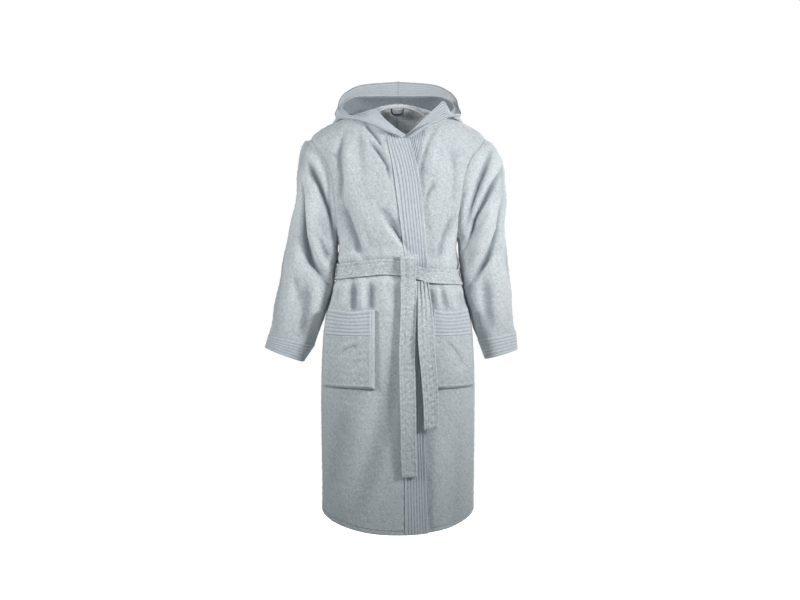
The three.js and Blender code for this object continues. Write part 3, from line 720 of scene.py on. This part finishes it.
def cuff(name, side, table, turns, bend):
    """A ribbed cuff; its ribs run round the wrist."""
    top, bottom = (sleeve_ring(row, side, turns) for row in table)
    share = np.linspace(-0.05, 1, 44)
    base = top[None] + (bottom - top)[None] * share[:, None, None]
    normal = outward(base, side)
    profile = ribs(np.clip(share, 0, 1), *CUFF_RIBS)[:, None] * np.ones(len(turns))
    profile[0] = -1.5  # the first row tucks under the sleeve's end
    cloth(f"{name}_cuff_ribs", base, normal, *CUFF_CLOTH, RIBBED, [f"cuff_{name}"], rough=0.25,
          ring=True, relief=profile, bend=bend, painted_shading=(3, 1.2))


# ---------- hood ----------
def mirrored(rows):
    return [[angle, -x, y, z] for angle, x, y, z in rows]


HOOD_LINES = {
    -1: (EDGE_RIGHT + mirrored(EDGE_BACK), ROLL_RIGHT + mirrored(ROLL_BACK)),
    1: (EDGE_LEFT + EDGE_BACK, ROLL_LEFT + ROLL_BACK),
}


def hood_line(line, angle):
    """Smooth points of an edge or roll line at angles round the neck."""
    line = np.asarray(line, float)
    rows = np.interp(angle, line[:, 0], np.arange(len(line)))
    return table_at(line[:, 1:], rows)


def resampled(controls, count):
    """Curve through control points, evenly spaced."""
    keys = np.linspace(0, len(controls) - 1, 400)
    return table_at(controls, evenly(keys, table_at(controls, keys), count))


HOOD_ANGLES = np.linspace(-26, 90, 80)  # round the neck, from behind the lapel to the centre back
HOOD_STEPS = 120  # from the neck seam to the roll line
HOOD_FLAT = (0.35, 0.49)
HOOD_BEND = ("robe", "hood", (0, 0.06, 0), (0, 0.14, 0))
HOOD_RIBS = (7, 2.6)  # number and depth
HOOD_LIFT = 18  # height of the hood's cloth above the back where it leaves it
FACING_ROWS = 3.2  # the cloth starts this far down inside the back
FACING_DEPTH = 6.5  # and this far inside its surface
SEAM_RISE = 4.5  # the cloth's height as it turns over the neck seam
FRONT_DROP = 9  # the cloth is lower in front, where the lapel covers it
BAG_RIM = np.array([0, 44, -48])  # from the roll line to the top of the hanging bag


def round_body(side, angle):
    """The angle round the body for an angle round one side of the neck."""
    return 180 - angle if side < 0 else angle


def hood_path(side, angle):
    """Hood cloth at one angle: off the neck seam, over the back, down into the bag, up to the roll line."""
    roll = hood_line(HOOD_LINES[side][1], angle)
    spread = ease(angle, 0, 44)
    bag = ease(angle, 26, 70)
    wrapped = ease(angle, -5, 30)
    reach = (0.03 + 0.72 * ease(angle, -60, 0)) * (1 - spread) + 4 * spread
    low = 3.5 + 5.5 * ease(angle, -50, -10)
    seam_angle = round_body(side, angle)
    across = body_normal(seam_angle, 0.0)
    seam = body_point(seam_angle, 0.0) + low * (1 - wrapped) * across
    controls = []
    for t in (1.0, 0.7, 0.4, 0.2):
        facing = body_point(seam_angle, FACING_ROWS * t) - FACING_DEPTH * across
        controls.append(seam + (facing - seam) * wrapped)
    controls.append(seam + np.array([0, 0, SEAM_RISE * wrapped]))
    for t in (0.16, 0.4, 0.7, 1.0):
        body_angle = round_body(side, angle + 0.55 * (90 - angle) * spread * t)
        lift = low + (HOOD_LIFT - low) * t * spread
        controls.append(body_point(body_angle, reach * t) + lift * body_normal(body_angle, reach * t))
    foot = controls[-1]
    below = roll + BAG_RIM * bag
    for i, (out, up) in enumerate(BAG_MERIDIAN):
        straight = foot + (below - foot) * (i + 1) / (len(BAG_MERIDIAN) + 1)
        hanging = foot + np.array([0, out, up])
        controls.append(straight * (1 - bag) + hanging * bag)
    controls += [below * bag + (foot + (roll - foot) * 0.93) * (1 - bag), roll]
    dropped = np.array([0, 0, FRONT_DROP * (1 - ease(angle, -24, 8))])
    return resampled(np.array(controls) - dropped, HOOD_STEPS)


def hood_half(which, side):
    """One half of the hood; a seam at the centre back joins the two."""
    base = np.array([hood_path(side, angle) for angle in HOOD_ANGLES])
    normal = side * grid_normals(base, False)
    share = np.linspace(0, 1, base.shape[1])
    x, y = base[..., 0], base[..., 1]
    sag = 5 * np.sin(x / 30) * ease(y, 120, 170)
    seam = -3.0 * bell(x, 4.0)
    relief = (sag + seam) * ease(share, 0.1, 0.4) * ease(share, 1.0, 0.85)
    # Where the cloth turns sharply beside the neck it is thinner, and its inside gets no painted shade.
    creased = bell(HOOD_ANGLES - 33, 12)[:, None]
    tight = creased * ease(share, 0.66, 0.55)
    # Painted light and shade on the hood's inside: lighter where it starts by the neck seam, darker down in
    # the bag, and darker still along the centre seam groove.
    lining = 0.5 - 1.0 * ease(share, 0.12, 0.3) - 0.3 * bell(x, 5.0)
    lining = lining * (1 - np.minimum(1.3 * creased, 1) * ease(share, 0.95, 0.85))
    cloth(f"{which}_hood_cloth", base, normal, CLOTH / 2, -CLOTH / 2 * (1 - 0.7 * tight), TERRY,
          [f"hood_side_{which}", f"hood_bag_{which}"], relief=relief, bend=HOOD_BEND, flat=HOOD_FLAT,
          lining=lining)


def hood_band():
    """The band all round the hood's opening, rolled outwards: ribs on the left, a smoother right lapel."""
    angles = np.concatenate([np.linspace(-90, 90, 150), np.linspace(90, -90, 150)[1:]])
    sides = np.array([-1] * 150 + [1] * 149)
    share = np.linspace(0, 1, 60)
    edge, roll = (np.array([hood_line(HOOD_LINES[s][line], a) for s, a in zip(sides, angles)])
                  for line in (0, 1))
    base = roll[:, None] + (edge - roll)[:, None] * share[None, :, None]
    normal = -grid_normals(base, False)
    front = ease(-angles, -10, 50)[:, None]
    camber = (4 + 6 * front) * np.sin(np.pi * np.clip(share * 0.9 + 0.1, 0, 1))
    left = 1.0 - 0.6 * ease(angles, 10, 40)
    right = 0.4 * ease(angles, 20, 60)
    ribbed = np.where(sides > 0, left, right)[:, None]
    # The piping is a raised bead and is also painted paler, a painted highlight; the whole band's tone is
    # lifted a little.
    piping = bead(share, 0.965, 0.035)
    relief = camber + ribbed * ribs(share, *HOOD_RIBS) * (1 - piping) + 1.6 * piping
    half = len(angles) // 2
    for name, part, nodes in (("right", slice(0, half + 1), ["collar_right"]),
                              ("left", slice(half, None), ["collar_left", "hood_band_back"])):
        cloth(f"{name}_hood_band", base[part], normal[part], BAND / 2, -BAND / 2, RIBBED, nodes,
              rough=0.3, relief=relief[part], bend=HOOD_BEND, painted_shading=(4, 0.9), outer_shading=0.5 * piping + 0.15)


# ---------- pockets ----------
POCKET_STAND = 14  # the pouch's height off the front
POCKET_CLOTH = 4
POCKET_INNER = {-1: 63, 1: 89}  # x of the side towards the middle
POCKET_OUTER = 0.93  # the other side, as a share of half the body's width
POCKET_FLAT = (0.165, 0.165)
POCKET_BAND_FLAT = (0.165, 0.075)
POCKET_RIBS = (7, 2.2)  # number and depth
POCKET_BORDER = 0.085  # share of the width taken by the stitched border
POCKET_CREASES = {
    "right": [([[-108, -638], [-155, -664]], 7, -4.5, 0.5), ([[-90, -700], [-130, -720]], 14, 2, 0),
              ([[-120, -680], [-95, -740]], 18, -2, 0)],
    "left": [([[135, -630], [176, -690]], 8, -4, -0.5), ([[150, -720], [180, -700]], 14, 2, 0)],
}


def pocket_piece(name, side, node, top, bottom, band):
    """Part of a patch pocket: the ribbed band at its mouth, or the bag below it."""
    inner_x = POCKET_INNER[side]
    down = np.linspace(0, 1, 30 if band else 56)
    across = np.linspace(0, 1, 56)
    sag = 8 * np.sin(np.pi * across) ** 1.5
    share = 1 - 0.8 * down if band else 0.2 * (1 - down)
    z = (top + (bottom - top) * down)[:, None] - sag * share[:, None]
    row = row_at_height(z)
    width = table_at(BODY_ROWS, row)[..., 0]
    angle = front_angle(side * (inner_x + (POCKET_OUTER * width - inner_x) * across), row)
    base, normal = body_point(angle, row), body_normal(angle, row)
    rim = np.minimum(across, 1 - across) / 0.06
    foot = np.ones_like(down) if band else (1 - down) / 0.06
    stand = 1.2 + (POCKET_STAND - 1.2) * np.clip(np.minimum(rim, foot[:, None]), 0, 1) ** 0.5
    gape = 3.5 * np.sin(np.pi * across) * ((1 - down)[:, None] if band else 0)
    border = bead(across, POCKET_BORDER, 0.02) + bead(across, 0.02, 0.03)
    if band:
        flatter = 1 - 0.75 * (across < POCKET_BORDER)
        profile = ribs(down, *POCKET_RIBS)[:, None] * flatter + 1.2 * border
        profile = profile + 1.4 * bead(down, 0.0, 0.05)[:, None]
    else:
        hem = bead(down, 0.945, 0.03)[:, None]
        creases = fold_field(base[..., 0], base[..., 2], POCKET_CREASES[name])
        profile = creases + 1.2 * border + 1.5 * hem
    stand = stand + gape
    height = stand + POCKET_CLOTH + profile + pile(base, 0.3 if band else 0.9)
    outer = base + normal * height[..., None]
    piece = "band" if band else "bag"
    obj = slab_mesh(f"{name}_pocket_{piece}", outer, base + normal * stand[..., None])
    painted_shading = (3, 1.2) if band else (5, 3.0)
    # Painted highlight on the stitched border's beads.
    write_painted_shading(obj, height - stand, stand, *painted_shading, False, 0.15 * np.clip(border, 0, 1))
    flat = POCKET_BAND_FLAT if band else POCKET_FLAT
    declare(obj, RIBBED if band else TERRY, [node], flat=flat, held="hung")


def pocket(name, side):
    pocket_piece(name, side, f"pocket_band_{name}", POCKET_TOP, POCKET_BAND_BOTTOM, True)
    pocket_piece(name, side, f"pocket_{name}", POCKET_BAND_BOTTOM, POCKET_BOTTOM, False)


# ---------- belt ----------
BELT_STAND = 2.6  # from the body's surface to the belt's inner face
BELT_FLAT = (1.07, BELT_WIDTH * MM)
# Reach and depth of the belt's painted shade in its valleys and painted highlights on its crests.
BELT_SHADING = (2, 1.6)  # reach and depth
KNOT_ANGLE = -72  # round the waist
KNOT_X = 30
KNOT_WIDTH = 47
KNOT_LENGTH = 0.105  # metres of belt in its loop
LONG_PIVOT = (0.03, -0.124, -0.4675)  # the top point of each end's bend line, in metres
SHORT_PIVOT = (0.07, -0.131, -0.4675)
TAIL_BEND = 0.05  # metres between the two points of an end's bend line
TAIL_STEP = 3.2  # grid spacing down an end
# The loop of the knot from behind its top over the front: height above the cloth, z.
KNOT_PATH = [[6, -404], [11, -394], [19, -390], [25, -398], [27, -416], [24, -438], [19, -458], [14.2, -484]]


def front_depth(x, z):
    row = row_at_height(z)
    return body_point(front_angle(x, row), row)[..., 1]


def stitched(share, lines, depth=1.0):
    """Grooves of lengthwise stitching across a strap, and its turned edges."""
    profile = np.zeros_like(share)
    for line in lines:
        profile = profile - depth * bell(share - line, 0.02)
    return profile + 1.2 * depth * (bead(share, 0.05, 0.05) + bead(share, 0.95, 0.05))


def belt():
    """The belt round the waist, narrower where it enters the knot."""
    angle = np.linspace(-180, 180, 300, endpoint=False)
    share = np.linspace(0, 1, 20)
    near_knot = bell(angle - KNOT_ANGLE, 16)
    width = BELT_WIDTH * (1 - 0.10 * near_knot)
    z = belt_height(angle) + (0.5 - share)[:, None] * width
    row = row_at_height(z, 1)
    grid_angle = np.broadcast_to(angle, z.shape)
    base, normal = body_point(grid_angle, row), body_normal(grid_angle, row)
    puckers = 0.8 * np.sin(np.radians(angle) * 23)
    profile = stitched(share, (0.2, 0.35, 0.5, 0.65, 0.8))[:, None] + puckers
    cloth("belt_band", base, normal, BELT_STAND + BELT_CLOTH, BELT_STAND, BELT, ["belt_waist"], ring=True,
          relief=profile * 0.8, held="stretched", flat=BELT_FLAT, painted_shading=BELT_SHADING)


def strap(name, node, base, normal, high, low, share, relief, flat, **more):
    """A loose length of the belt, painted paler along its raised edges as a highlight."""
    outer_shading = 0.22 * (bead(share, 0.03, 0.05) + bead(share, 0.97, 0.05))
    cloth(name, base, normal, high, low, BELT, [node], relief=relief, flat=flat, painted_shading=BELT_SHADING,
          outer_shading=outer_shading, **more)


def knot():
    """The long end comes up behind the belt, over it and straight down."""
    path = resampled(np.array(KNOT_PATH, float), 46)
    share = np.linspace(0, 1, 26)
    down = np.linspace(0, 1, len(path))
    pinch = 1 - 0.10 * bell(down - 0.75, 0.18) - 0.12 * bell(down, 0.12)
    x = KNOT_X + (share - 0.5) * KNOT_WIDTH * pinch[:, None]
    z = np.broadcast_to(path[:, 1:2], x.shape) + 3.0 * np.cos((share - 0.5) * np.pi)
    middle = front_depth(np.full(len(path), float(KNOT_X)), path[:, 1])
    round_over = 5 * (np.abs(share - 0.5) * 2) ** 2.5
    y = (middle - path[:, 0])[:, None] + round_over
    base = np.stack([x, y, z], -1)
    normal = grid_normals(base, False)
    squeezed = bell(down - 0.6, 0.3)[:, None]
    folds = stitched(share, (0.33, 0.66), 1.1) + 1.6 * np.sin(share * 11 + 1) * squeezed
    inner = (0.4 - BELT_CLOTH) * (1 - ease(down, 0.8, 1.0)) - 0.4
    strap("belt_knot_wrap", "belt_knot", base, normal, 0.0, inner[:, None], share, folds,
          (KNOT_WIDTH * MM, KNOT_LENGTH))


def tail(which, line, over, lines, gather, flat, pivot):
    """A flat end of the belt, hanging in front of the skirt; over is 1 for the end that lies further out."""
    line = np.asarray(line, float)
    z = np.linspace(line[0, 0], line[-1, 0], int((line[0, 0] - line[-1, 0]) / TAIL_STEP))
    down = np.linspace(0, 1, len(z))
    centre = line_at(line[:, [0, 1]], z, 30) + 1.6 * np.sin(z / 47.0)
    width = line_at(line[:, [0, 2]], z, 30)
    share = np.linspace(0, 1, 26)
    x = centre[:, None] + (share - 0.5) * width[:, None]
    tilt = 2.0 * (share - 0.5) * down[:, None]
    grid_z = np.broadcast_to(z[:, None], x.shape) + tilt
    y = front_depth(np.clip(x, 2, None), grid_z)
    flatter = y.min(1, keepdims=True)
    sway = (2.2 * np.sin(z / 52.0 + centre[0]) * ease(down, 0.05, 0.3))[:, None]
    stand = 9 + over * (11 - 14 * ease(z, -545, -470))
    base = np.stack([x, 0.5 * (y + flatter) - stand[:, None] - sway, grid_z], -1)
    normal = np.broadcast_to([0.0, -1.0, 0.0], base.shape)
    pleats = gather * bell(down, 0.22)[:, None] * np.sin(share * 3.2 * 2 * np.pi)
    cup = 3.0 * ((share - 0.5) * 2) ** 2 * ease(down, 0.1, 0.5)[:, None]
    hem = bead(down, 1 - 10 / (z[0] - z[-1]), 0.008)[:, None]
    profile = stitched(share, lines, 1.1) + pleats + cup + hem
    bend = ("robe", f"{which}_tail", pivot, (pivot[0], pivot[1], pivot[2] - TAIL_BEND))
    strap(f"{which}_belt_tail", f"belt_tail_{which}", base, normal, BELT_CLOTH, 0.0, share, profile, flat,
          bend=bend)


# ---------- corded loops ----------
TUBE_SIDES = 10
TUBE_STEPS = 60


def tube(name, node, controls, radius, fabric, body, twist):
    """A twisted cord along a curve through control points, with narrowed ends."""
    path = resampled(np.array(controls), TUBE_STEPS)
    ahead = unit(np.gradient(path, axis=0))
    side = unit(np.cross(ahead, [0.31, 0.9, 0.2]))
    up = np.cross(ahead, side)
    turn = full_turn(TUBE_SIDES) + np.arange(len(path))[:, None] * twist
    swell = radius * (1 + 0.12 * np.cos(2 * turn))
    swell[[0, -1]] *= 0.2
    around = np.cos(turn)[..., None] * side[:, None] + np.sin(turn)[..., None] * up[:, None]
    outer = swell[..., None] * around
    obj = slab_mesh(name, path[:, None] + outer, path[:, None] + 0.15 * outer, True)
    declare(obj, fabric, [node], (body,))


# Half of a belt loop: height from the belt's middle, distance from the side seam.
LOOP_HALF = [[30, 0], [28, 3.5], [24.5, 8.5], [15, 10.0]]
LOOP_STAND = 10.2
LOOP_RADIUS = 1.5


def belt_loop(name, side):
    """A thread loop at the side seam that the belt runs through."""
    angle = 180.0 if side < 0 else 0.0
    centre = float(belt_height(angle))
    lower = [[-reach, stand] for reach, stand in reversed(LOOP_HALF)]
    controls = []
    for reach, stand in [*LOOP_HALF, [0, LOOP_STAND], *lower]:
        point = body_point(angle, float(row_at_height(centre + reach, 1)))
        controls.append(point + np.array([side * stand, 0, 0]))
    tube(f"{name}_belt_loop", f"belt_loop_{name}", controls, LOOP_RADIUS, LOOP_THREAD, "robe", 0.5)


# ---------- neck ----------
NECK_MIDDLE = -2
LABEL_SIZE = (38, 21)
LABEL_TOP = (49.4, 43.5)  # y, z
LABEL_TILT = math.radians(18)
HANGER_TOP = (45, 46)  # y, z of the hanging loop's ends
HANGER_RADIUS = 2.1


def neck_label():
    """A blank woven label with folded edges, sewn into the back of the neck seam."""
    width, length = LABEL_SIZE
    lean, fall = math.sin(LABEL_TILT), math.cos(LABEL_TILT)
    down = np.linspace(0, 1, 16)
    across = np.linspace(0, 1, 24)
    x = NECK_MIDDLE + (across - 0.5) * width
    y = LABEL_TOP[0] + down[:, None] * length * lean
    z = LABEL_TOP[1] - down[:, None] * length * fall
    base = np.stack(np.broadcast_arrays(x, y, z), -1)
    normal = np.broadcast_to([0, -fall, -lean], base.shape)
    sides = bead(across, 0.05, 0.03) + bead(across, 0.95, 0.03)
    folded = np.maximum(sides, bead(down, 0.93, 0.05)[:, None])
    obj = slab_mesh("woven_label", base + normal * (1.0 + 0.3 * folded)[..., None], base)
    declare(obj, LABEL, ["neck_label"], flat=(width * MM, length * MM), held="hung")


def hanging_loop():
    """The dark cord that the robe hangs by, both ends sewn into the neck seam."""
    half, drop, bend = 17, 17, 8
    left = [[half - bend * 0.7, -2, -drop], [half, -1.5, -drop + bend], [half, 0, 0]]
    right = [[-x, y, z] for x, y, z in reversed(left)]
    controls = np.array([*right, [0, -2.4, -drop - 1], *left]) + (NECK_MIDDLE, *HANGER_TOP)
    tube("hanging_loop", "hanger_loop", controls, HANGER_RADIUS, CORD, "hanger", 0.35)


# ---------- camera, light and stage ----------
CAMERA_DISTANCE = 3.6
EYE_HEIGHT = -0.514
FLOOR_HEIGHT = -1.46
FLOOR_RADIUS = 2.2
FLOOR_CORNERS = 96
PICTURE_WIDTH = 2.312  # metres across the picture at the robe
SENSOR = 36
ROOM_LIGHT = 0.19  # strength of the room's light on the robe; the room itself is seen as white
ROOM_TINT = (0.80, 0.91, 1.0, 1)
WHITE = (1, 1, 1, 1)


def make_camera():
    data = bpy.data.cameras.new("camera")
    data.sensor_width = SENSOR
    data.lens = SENSOR * CAMERA_DISTANCE / PICTURE_WIDTH
    camera = placed("camera", data)
    camera.location = (0.006, -CAMERA_DISTANCE, EYE_HEIGHT)
    camera.rotation_euler = (math.pi / 2, 0, 0)
    bpy.context.scene.camera = camera


def area_light(name, location, target, size, watts, spread):
    data = bpy.data.lights.new(name, "AREA")
    data.shape = "RECTANGLE"
    data.size, data.size_y = size
    data.energy = watts
    data.spread = math.radians(spread)
    light = placed(name, data)
    light.location = location
    direction = Vector(target) - Vector(location)
    light.rotation_euler = direction.to_track_quat("-Z", "Y").to_euler()


def make_lights():
    """Two soft keys, a weak front fill and a light behind, in a pale room that looks white."""
    area_light("left_key", (-2.2, -1.6, 0.35), (-0.12, 0, -0.28), (0.6, 0.6), 3.6, 50)
    area_light("right_key", (2.2, -1.6, 0.35), (0.12, 0, -0.28), (0.6, 0.6), 5.5, 50)
    area_light("front_fill", (0.1, -2.2, 0.3), (0, 0, -0.2), (0.8, 0.5), 0.55, 50)
    area_light("back_light", (1.0, 2.4, 1.2), (0, 0, -0.4), (2.0, 1.2), 35, 120)
    world = bpy.data.worlds.new("studio")
    world.use_nodes = True
    tree = world.node_tree
    background = tree.nodes["Background"]
    seen = tree.nodes.new("ShaderNodeLightPath").outputs["Is Camera Ray"]
    strength = tree.nodes.new("ShaderNodeMapRange")
    strength.inputs["To Min"].default_value = ROOM_LIGHT
    tree.links.new(seen, strength.inputs["Value"])
    tree.links.new(strength.outputs["Result"], background.inputs["Strength"])
    tint = tree.nodes.new("ShaderNodeMix")
    tint.data_type = "RGBA"
    tint.inputs[6].default_value = ROOM_TINT
    tint.inputs[7].default_value = WHITE
    tree.links.new(seen, tint.inputs[0])
    tree.links.new(tint.outputs[2], background.inputs["Color"])
    bpy.context.scene.world = world
    bpy.context.scene.view_settings.view_transform = "Standard"


def make_floor():
    """A pale disc below the hem, as bright as the room behind it."""
    points = [(FLOOR_RADIUS * np.cos(turn), FLOOR_RADIUS * np.sin(turn), FLOOR_HEIGHT)
              for turn in full_turn(FLOOR_CORNERS)]
    mesh = bpy.data.meshes.new("floor")
    mesh.from_pydata(points, [], [tuple(range(FLOOR_CORNERS))])
    floor = placed("floor", mesh)
    material = bpy.data.materials.new("floor")
    material.use_nodes = True
    shader = material.node_tree.nodes["Principled BSDF"]
    shader.inputs["Base Color"].default_value = (0.8, 0.8, 0.8, 1)
    shader.inputs["Roughness"].default_value = 0.9
    shader.inputs["Emission Color"].default_value = WHITE
    seen = material.node_tree.nodes.new("ShaderNodeLightPath").outputs["Is Camera Ray"]
    material.node_tree.links.new(seen, shader.inputs["Emission Strength"])
    mesh.materials.append(material)


make_camera()
make_lights()
make_floor()
make_body()
front_band("right", over_seam, over_edge, 1.4, False)
front_band("left", under_edge, under_seam, 0.4, True)
sleeve("right", -1, SLEEVE_RIGHT, CUFF_RIGHT, SLEEVE_FOLDS_RIGHT)
sleeve("left", 1, SLEEVE_LEFT, CUFF_LEFT, SLEEVE_FOLDS_LEFT)
hood_half("right", -1)
hood_half("left", 1)
hood_band()
pocket("right", -1)
pocket("left", 1)
belt()
knot()
tail("long", LONG_TAIL, 0, (0.33, 0.66), 0.0, (0.046, 0.545), LONG_PIVOT)
tail("short", SHORT_TAIL, 1, (0.28, 0.5, 0.72), 2.6, (0.042, 0.42), SHORT_PIVOT)
belt_loop("right", -1)
belt_loop("left", 1)
neck_label()
hanging_loop()
